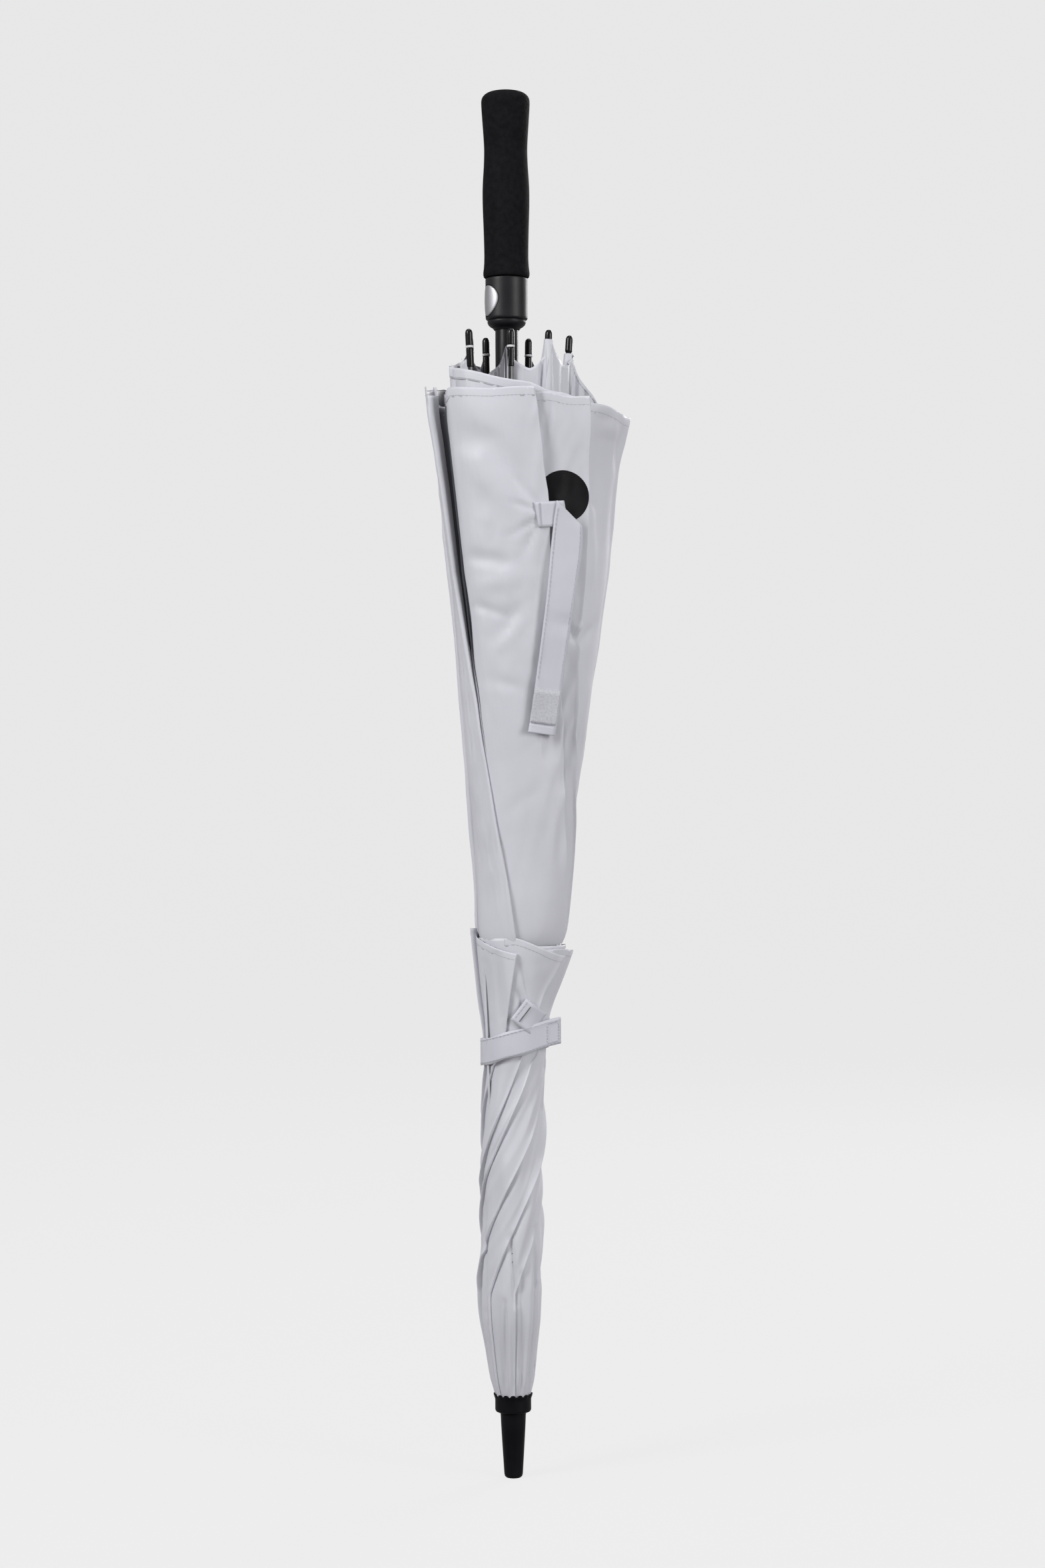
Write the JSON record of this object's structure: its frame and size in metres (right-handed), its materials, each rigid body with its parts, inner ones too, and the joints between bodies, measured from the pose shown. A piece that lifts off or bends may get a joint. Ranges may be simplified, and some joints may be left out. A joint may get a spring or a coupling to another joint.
{
  "type": "golf umbrella",
  "caption": "Furled stick golf umbrella with a vented double canopy, straight foam grip and automatic opening button, standing handle up.",
  "frame": {"origin": "centre of the ferrule's flat end", "axes": "+Z along the shaft from the ferrule to the grip; +X to the right as seen from the front, with the button on the -X side, turned 23 degrees to the front"},
  "size_m": [0.1436, 0.0982, 0.9997],
  "materials": {
    "steel_tube": "satin",
    "foam": "matte",
    "black_plastic": "satin",
    "silver_button": "satin",
    "spring_steel": "satin",
    "canopy_cloth": "matte",
    "strap_webbing": "matte",
    "rib_fibre": "satin",
    "tip_plastic": "gloss"
  },
  "bodies": {
    "root": {"shaft": "steel_tube", "grip": "foam", "grip_core": "black_plastic", "button_housing": "black_plastic", "button_spring": "spring_steel", "latch_plate": "spring_steel", "opening_spring": "spring_steel", "crown": "black_plastic", "crown_wire": "spring_steel", "cap": "black_plastic", "ferrule": "black_plastic", "strap_lower": "strap_webbing"},
    "button": {"button": "silver_button"},
    "runner": {"runner": "black_plastic", "runner_wire": "spring_steel"},
    "rib_1": {"rib_1": "rib_fibre", "rib_tip_1": "tip_plastic", "rib_bracket_1": "tip_plastic"},
    "stretcher_1": {"stretcher_1": "rib_fibre"},
    "gore_1": {"canopy_fold_1": "canopy_cloth"},
    "rib_2": {"rib_2": "rib_fibre", "rib_tip_2": "tip_plastic", "rib_bracket_2": "tip_plastic"},
    "stretcher_2": {"stretcher_2": "rib_fibre"},
    "gore_2": {"canopy_fold_2": "canopy_cloth", "strap_upper": "strap_webbing"},
    "rib_3": {"rib_3": "rib_fibre", "rib_tip_3": "tip_plastic", "rib_bracket_3": "tip_plastic"},
    "stretcher_3": {"stretcher_3": "rib_fibre"},
    "gore_3": {"canopy_fold_3": "canopy_cloth"},
    "rib_4": {"rib_4": "rib_fibre", "rib_tip_4": "tip_plastic", "rib_bracket_4": "tip_plastic"},
    "stretcher_4": {"stretcher_4": "rib_fibre"},
    "gore_4": {"canopy_fold_4": "canopy_cloth"},
    "rib_5": {"rib_5": "rib_fibre", "rib_tip_5": "tip_plastic", "rib_bracket_5": "tip_plastic"},
    "stretcher_5": {"stretcher_5": "rib_fibre"},
    "gore_5": {"canopy_fold_5": "canopy_cloth"},
    "rib_6": {"rib_6": "rib_fibre", "rib_tip_6": "tip_plastic", "rib_bracket_6": "tip_plastic"},
    "stretcher_6": {"stretcher_6": "rib_fibre"},
    "gore_6": {"canopy_fold_6": "canopy_cloth"},
    "rib_7": {"rib_7": "rib_fibre", "rib_tip_7": "tip_plastic", "rib_bracket_7": "tip_plastic"},
    "stretcher_7": {"stretcher_7": "rib_fibre"},
    "gore_7": {"canopy_fold_7": "canopy_cloth"},
    "rib_8": {"rib_8": "rib_fibre", "rib_tip_8": "tip_plastic", "rib_bracket_8": "tip_plastic"},
    "stretcher_8": {"stretcher_8": "rib_fibre"},
    "gore_8": {"canopy_fold_8": "canopy_cloth"}
  },
  "joints": [
    {"name": "button_press", "type": "slide", "parent": "root", "child": "button", "axis": [0.9205, 0.3907, 0], "range_m": [0, 0.0012], "stiffness_N_per_m": 400, "deforming": ["button_spring"]},
    {"name": "runner_slide", "type": "slide", "parent": "root", "child": "runner", "axis": [0, 0, -1], "range_m": [0, 0.37], "deforming": ["opening_spring", "strap_lower"]},
    {"name": "rib_1_hinge", "type": "hinge", "parent": "root", "child": "rib_1", "pos_m": [-0.00675, -0.00804, 0.068], "axis": [0.766, -0.6428, 0], "range_deg": [0, 62.62]},
    {"name": "stretcher_1_hinge", "type": "hinge", "parent": "rib_1", "child": "stretcher_1", "pos_m": [-0.01077, -0.01283, 0.40923], "axis": [-0.766, 0.6428, 0], "range_deg": [0, 122.78]},
    {"name": "gore_1_hinge", "type": "hinge", "parent": "rib_1", "child": "gore_1", "pos_m": [-0.00644, -0.00767, 0.05643], "axis": [0.5005, 0.8648, 0.041], "range_deg": [0, 40.6], "deforming": ["canopy_fold_1"]},
    {"name": "rib_2_hinge", "type": "hinge", "parent": "root", "child": "rib_2", "pos_m": [0.00092, -0.01046, 0.068], "axis": [0.9962, 0.0872, 0], "range_deg": [0, 63.23]},
    {"name": "stretcher_2_hinge", "type": "hinge", "parent": "rib_2", "child": "stretcher_2", "pos_m": [0.00125, -0.01425, 0.40862], "axis": [-0.9962, -0.0872, 0], "range_deg": [0, 123.59]},
    {"name": "gore_2_hinge", "type": "hinge", "parent": "rib_2", "child": "gore_2", "pos_m": [0.00088, -0.0101, 0.05642], "axis": [-0.2576, 0.9658, 0.0306], "range_deg": [0, 40.6], "deforming": ["canopy_fold_2", "strap_upper"]},
    {"name": "rib_3_hinge", "type": "hinge", "parent": "root", "child": "rib_3", "pos_m": [0.00804, -0.00675, 0.068], "axis": [0.6428, 0.766, 0], "range_deg": [0, 62.82]},
    {"name": "stretcher_3_hinge", "type": "hinge", "parent": "rib_3", "child": "stretcher_3", "pos_m": [0.01222, -0.01026, 0.40903], "axis": [-0.6428, -0.766, 0], "range_deg": [0, 123.04]},
    {"name": "gore_3_hinge", "type": "hinge", "parent": "rib_3", "child": "gore_3", "pos_m": [0.0077, -0.00647, 0.05642], "axis": [-0.8649, 0.5006, 0.0376], "range_deg": [0, 40.6], "deforming": ["canopy_fold_3"]},
    {"name": "rib_4_hinge", "type": "hinge", "parent": "root", "child": "rib_4", "pos_m": [0.01046, 0.00092, 0.068], "axis": [-0.0872, 0.9962, 0], "range_deg": [0, 62.35]},
    {"name": "stretcher_4_hinge", "type": "hinge", "parent": "rib_4", "child": "stretcher_4", "pos_m": [0.01779, 0.00156, 0.40951], "axis": [0.0872, -0.9962, 0], "range_deg": [0, 122.41]},
    {"name": "gore_4_hinge", "type": "hinge", "parent": "rib_4", "child": "gore_4", "pos_m": [0.00992, 0.00087, 0.05643], "axis": [-0.9652, -0.2575, 0.0457], "range_deg": [0, 40.6], "deforming": ["canopy_fold_4"]},
    {"name": "rib_5_hinge", "type": "hinge", "parent": "root", "child": "rib_5", "pos_m": [0.00675, 0.00804, 0.068], "axis": [-0.766, 0.6428, 0], "range_deg": [0, 63.94]},
    {"name": "stretcher_5_hinge", "type": "hinge", "parent": "rib_5", "child": "stretcher_5", "pos_m": [0.00736, 0.00877, 0.40789], "axis": [0.766, -0.6428, 0], "range_deg": [0, 124.54]},
    {"name": "gore_5_hinge", "type": "hinge", "parent": "rib_5", "child": "gore_5", "pos_m": [0.00661, 0.00788, 0.05642], "axis": [-0.501, -0.8653, 0.0184], "range_deg": [0, 40.6], "deforming": ["canopy_fold_5"]},
    {"name": "rib_6_hinge", "type": "hinge", "parent": "root", "child": "rib_6", "pos_m": [-0.00092, 0.01046, 0.068], "axis": [-0.9962, -0.0872, 0], "range_deg": [0, 64.14]},
    {"name": "stretcher_6_hinge", "type": "hinge", "parent": "rib_6", "child": "stretcher_6", "pos_m": [-0.00093, 0.01062, 0.40769], "axis": [0.9962, 0.0872, 0], "range_deg": [0, 124.8]},
    {"name": "gore_6_hinge", "type": "hinge", "parent": "rib_6", "child": "gore_6", "pos_m": [-0.0009, 0.01029, 0.05642], "axis": [0.2576, -0.9661, 0.015], "range_deg": [0, 40.6], "deforming": ["canopy_fold_6"]},
    {"name": "rib_7_hinge", "type": "hinge", "parent": "root", "child": "rib_7", "pos_m": [-0.00804, 0.00675, 0.068], "axis": [-0.6428, -0.766, 0], "range_deg": [0, 64.29]},
    {"name": "stretcher_7_hinge", "type": "hinge", "parent": "rib_7", "child": "stretcher_7", "pos_m": [-0.00771, 0.00647, 0.40754], "axis": [0.6428, 0.766, 0], "range_deg": [0, 125]},
    {"name": "gore_7_hinge", "type": "hinge", "parent": "rib_7", "child": "gore_7", "pos_m": [-0.00793, 0.00666, 0.05641], "axis": [0.8653, -0.501, 0.0124], "range_deg": [0, 40.6], "deforming": ["canopy_fold_7"]},
    {"name": "rib_8_hinge", "type": "hinge", "parent": "root", "child": "rib_8", "pos_m": [-0.01046, -0.00092, 0.068], "axis": [0.0872, -0.9962, 0], "range_deg": [0, 63.76]},
    {"name": "stretcher_8_hinge", "type": "hinge", "parent": "rib_8", "child": "stretcher_8", "pos_m": [-0.01213, -0.00106, 0.40808], "axis": [-0.0872, 0.9962, 0], "range_deg": [0, 124.3]},
    {"name": "gore_8_hinge", "type": "hinge", "parent": "rib_8", "child": "gore_8", "pos_m": [-0.01021, -0.00089, 0.05642], "axis": [0.966, 0.2576, 0.0215], "range_deg": [0, 40.6], "deforming": ["canopy_fold_8"]}
  ],
  "couplings": [
    {"joint": "rib_1_hinge", "follows": "runner_slide", "rad_per_m": 2.9536},
    {"joint": "stretcher_1_hinge", "follows": "runner_slide", "rad_per_m": 5.791},
    {"joint": "gore_1_hinge", "follows": "runner_slide", "rad_per_m": 1.9145},
    {"joint": "rib_2_hinge", "follows": "runner_slide", "rad_per_m": 2.9821},
    {"joint": "stretcher_2_hinge", "follows": "runner_slide", "rad_per_m": 5.8293},
    {"joint": "gore_2_hinge", "follows": "runner_slide", "rad_per_m": 1.9145},
    {"joint": "rib_3_hinge", "follows": "runner_slide", "rad_per_m": 2.9629},
    {"joint": "stretcher_3_hinge", "follows": "runner_slide", "rad_per_m": 5.8035},
    {"joint": "gore_3_hinge", "follows": "runner_slide", "rad_per_m": 1.9145},
    {"joint": "rib_4_hinge", "follows": "runner_slide", "rad_per_m": 2.9407},
    {"joint": "stretcher_4_hinge", "follows": "runner_slide", "rad_per_m": 5.7738},
    {"joint": "gore_4_hinge", "follows": "runner_slide", "rad_per_m": 1.9145},
    {"joint": "rib_5_hinge", "follows": "runner_slide", "rad_per_m": 3.0157},
    {"joint": "stretcher_5_hinge", "follows": "runner_slide", "rad_per_m": 5.8742},
    {"joint": "gore_5_hinge", "follows": "runner_slide", "rad_per_m": 1.9145},
    {"joint": "rib_6_hinge", "follows": "runner_slide", "rad_per_m": 3.025},
    {"joint": "stretcher_6_hinge", "follows": "runner_slide", "rad_per_m": 5.8866},
    {"joint": "gore_6_hinge", "follows": "runner_slide", "rad_per_m": 1.9145},
    {"joint": "rib_7_hinge", "follows": "runner_slide", "rad_per_m": 3.0322},
    {"joint": "stretcher_7_hinge", "follows": "runner_slide", "rad_per_m": 5.8961},
    {"joint": "gore_7_hinge", "follows": "runner_slide", "rad_per_m": 1.9145},
    {"joint": "rib_8_hinge", "follows": "runner_slide", "rad_per_m": 3.0071},
    {"joint": "stretcher_8_hinge", "follows": "runner_slide", "rad_per_m": 5.8627},
    {"joint": "gore_8_hinge", "follows": "runner_slide", "rad_per_m": 1.9145}
  ]
}
